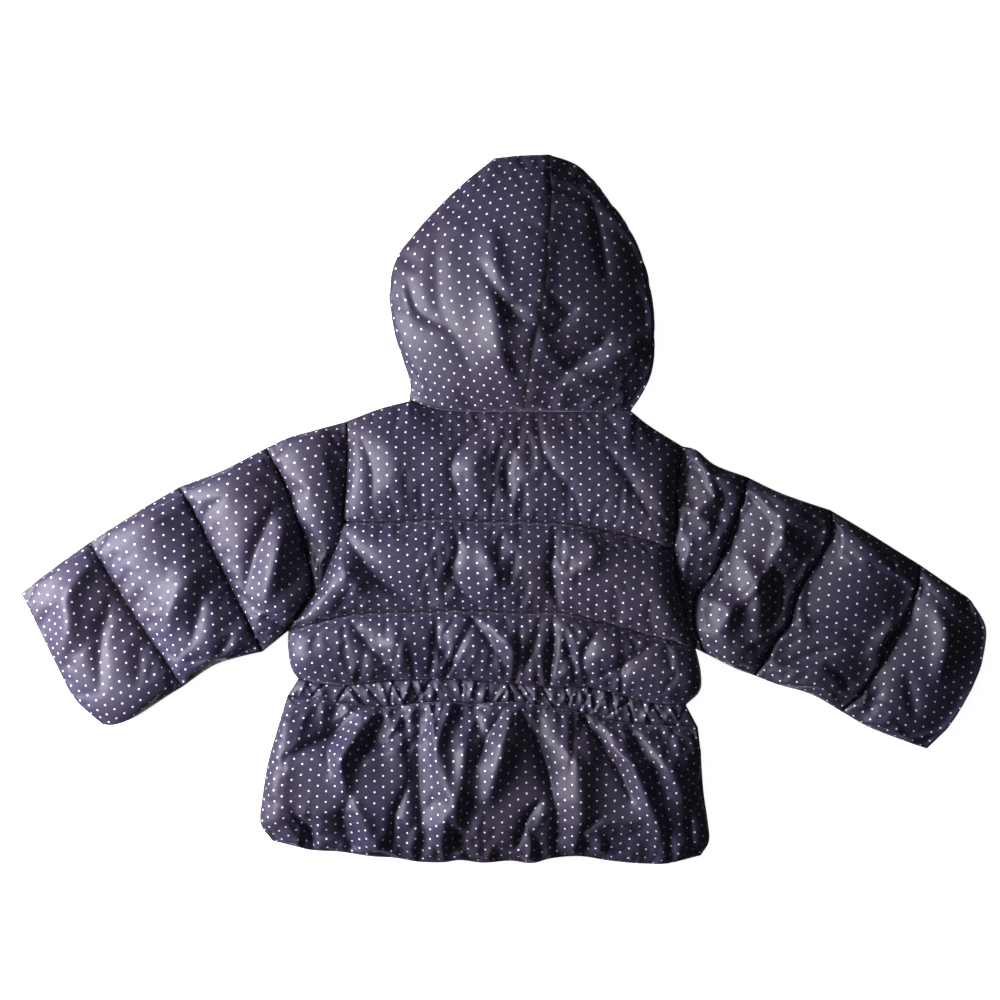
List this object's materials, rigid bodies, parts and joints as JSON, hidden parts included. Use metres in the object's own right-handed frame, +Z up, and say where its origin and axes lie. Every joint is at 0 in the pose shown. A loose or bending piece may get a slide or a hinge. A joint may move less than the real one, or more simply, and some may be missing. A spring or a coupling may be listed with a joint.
{
  "type": "padded hooded coat for a small child",
  "caption": "Padded child's coat with a hood, gathered waist and bubble hem, closed by a front zip and laid flat on its front.",
  "frame": {"origin": "middle of the whole outline, on the surface the coat rests on", "axes": "+X across the coat towards the wearer's right sleeve, +Y from the hem to the crown of the hood, +Z up through the front to the back"},
  "size_m": [0.7717, 0.567, 0.0605],
  "materials": {
    "shell_fabric": "navy taffeta with a satin sheen and small white dots",
    "zip_tape_fabric": "dark woven tape",
    "zip_teeth_plastic": "dark moulded teeth",
    "zip_metal": "plain metal slider and tab"
  },
  "bodies": {
    "coat": {"back_bodice": "shell_fabric", "back_waist_casing": "shell_fabric", "back_skirt": "shell_fabric", "front_bodice_left": "shell_fabric", "front_bodice_right": "shell_fabric", "front_waist_left": "shell_fabric", "front_waist_right": "shell_fabric", "front_skirt_left": "shell_fabric", "front_skirt_right": "shell_fabric", "sleeve_left": "shell_fabric", "sleeve_right": "shell_fabric", "hood_left": "shell_fabric", "hood_right": "shell_fabric", "zip_tape_left": "zip_tape_fabric", "zip_tape_right": "zip_tape_fabric", "zip_chain": "zip_teeth_plastic", "zip_slider": "zip_metal"},
    "zip_pull": {"zip_pull_tab": "zip_metal"}
  },
  "joints": [
    {"name": "zip_pull_swing", "type": "hinge", "parent": "coat", "child": "zip_pull", "pos_m": [0.01499, 0.04, 0.0042], "axis": [0.9959, -0.09, 0], "range_deg": [0, 150]}
  ]
}
